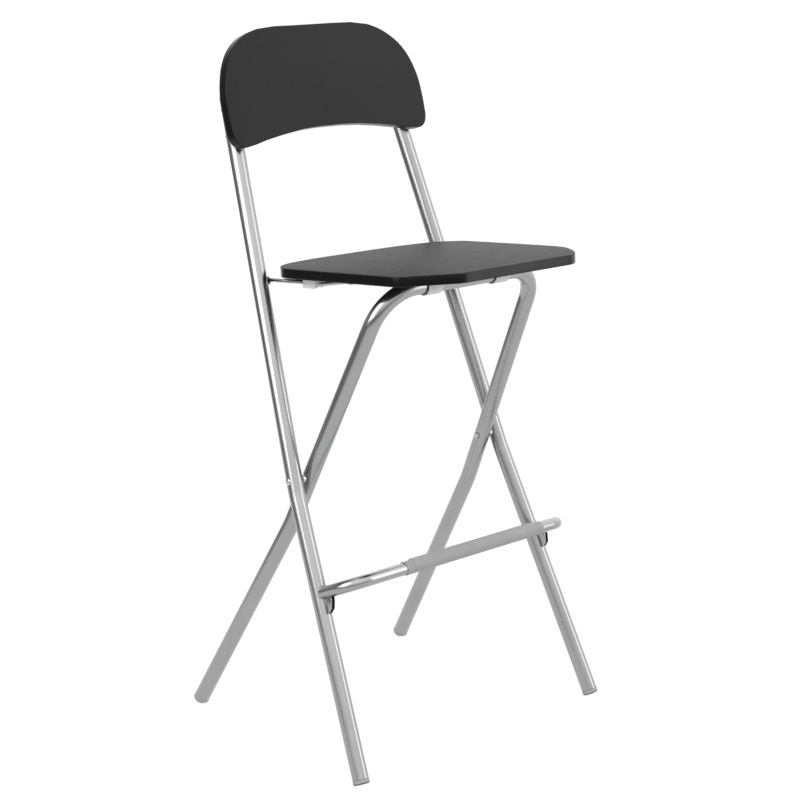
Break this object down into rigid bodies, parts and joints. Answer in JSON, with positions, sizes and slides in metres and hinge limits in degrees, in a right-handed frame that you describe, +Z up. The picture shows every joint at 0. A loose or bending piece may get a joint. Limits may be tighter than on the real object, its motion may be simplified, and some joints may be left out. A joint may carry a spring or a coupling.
{
  "type": "folding bar stool",
  "caption": "Folding bar stool with a steel tube frame, crossed rear leg frame, low curved backrest, hinged thin seat board, wire bail and padded footrest bar.",
  "frame": {"origin": "on the floor, under the middle of the stool's overall box", "axes": "+Z up; +X to the stool's own left-right across its width, the plane x = 0 is its plane of symmetry; -Y is the front, the side the sitter's legs and the footrest are on"},
  "size_m": [0.5376, 0.502, 1.0873],
  "materials": {
    "frame_tube": "satin silver-grey powder coat with fine metallic grain",
    "gusset_sheet": "same satin silver-grey as the tubes, on folded sheet",
    "bright_steel": "zinc plated, lightly brushed",
    "bright_wire": "bright drawn and plated wire",
    "board_laminate": "black matt laminate with a very fine orange-peel texture, softened edges",
    "sleeve_plastic": "matt grey moulded plastic",
    "foot_plastic": "matt grey moulded plastic, slightly scuffed underneath",
    "clip_plastic": "light grey moulded plastic",
    "snap_plastic": "milky translucent moulded plastic",
    "dark_plastic": "black moulded plastic"
  },
  "bodies": {
    "main_frame": {"backrest_panel": "board_laminate", "backrest_saddle_left_lower": "foot_plastic", "backrest_saddle_left_upper": "foot_plastic", "backrest_saddle_right_lower": "foot_plastic", "backrest_saddle_right_upper": "foot_plastic", "backrest_screw_left_lower": "bright_steel", "backrest_screw_left_upper": "bright_steel", "backrest_screw_right_lower": "bright_steel", "backrest_screw_right_upper": "bright_steel", "bail_bush_left": "dark_plastic", "bail_bush_right": "dark_plastic", "footrest_gusset_left": "gusset_sheet", "footrest_gusset_right": "gusset_sheet", "footrest_sleeve": "sleeve_plastic", "footrest_tube": "frame_tube", "front_foot_left": "foot_plastic", "front_foot_right": "foot_plastic", "main_tube_cap_left": "foot_plastic", "main_tube_cap_right": "foot_plastic", "main_tube_left": "frame_tube", "main_tube_right": "frame_tube", "pivot_bolt_left": "bright_steel", "pivot_bolt_right": "bright_steel", "pivot_nut_left": "bright_steel", "pivot_nut_right": "bright_steel", "pivot_spacer_left": "bright_steel", "pivot_spacer_right": "bright_steel"},
    "rear_leg_frame": {"rear_leg_tube": "frame_tube", "rear_foot_left": "foot_plastic", "rear_foot_right": "foot_plastic"},
    "seat": {"bail_pivot_clip_left": "clip_plastic", "bail_pivot_clip_right": "clip_plastic", "bail_pivot_screw_left": "bright_steel", "bail_pivot_screw_right": "bright_steel", "bail_snap_clip_left": "snap_plastic", "bail_snap_clip_right": "snap_plastic", "bail_snap_screw_left": "bright_steel", "bail_snap_screw_right": "bright_steel", "seat_clip_left": "clip_plastic", "seat_clip_liner_left": "dark_plastic", "seat_clip_liner_right": "dark_plastic", "seat_clip_right": "clip_plastic", "seat_clip_screw_left_front": "bright_steel", "seat_clip_screw_left_rear": "bright_steel", "seat_clip_screw_right_front": "bright_steel", "seat_clip_screw_right_rear": "bright_steel", "seat_panel": "board_laminate"},
    "seat_bail": {"bail_wire": "bright_wire"}
  },
  "joints": [
    {"name": "leg_fold", "type": "hinge", "parent": "main_frame", "child": "rear_leg_frame", "pos_m": [0, 0.0055, 0.4238], "axis": [-1, 0, 0], "range_deg": [0, 36]},
    {"name": "seat_flip", "type": "hinge", "parent": "rear_leg_frame", "child": "seat", "pos_m": [0, -0.13315, 0.7235], "axis": [1, 0, 0], "range_deg": [0, 116.73]},
    {"name": "bail_swing", "type": "hinge", "parent": "seat", "child": "seat_bail", "pos_m": [0, -0.0292, 0.72278], "axis": [-1, 0, 0], "range_deg": [0, 155.86]}
  ],
  "couplings": [
    {"joint": "seat_flip", "follows": "leg_fold", "ratio": 3.2412},
    {"joint": "bail_swing", "follows": "leg_fold", "ratio": 4.3281}
  ]
}
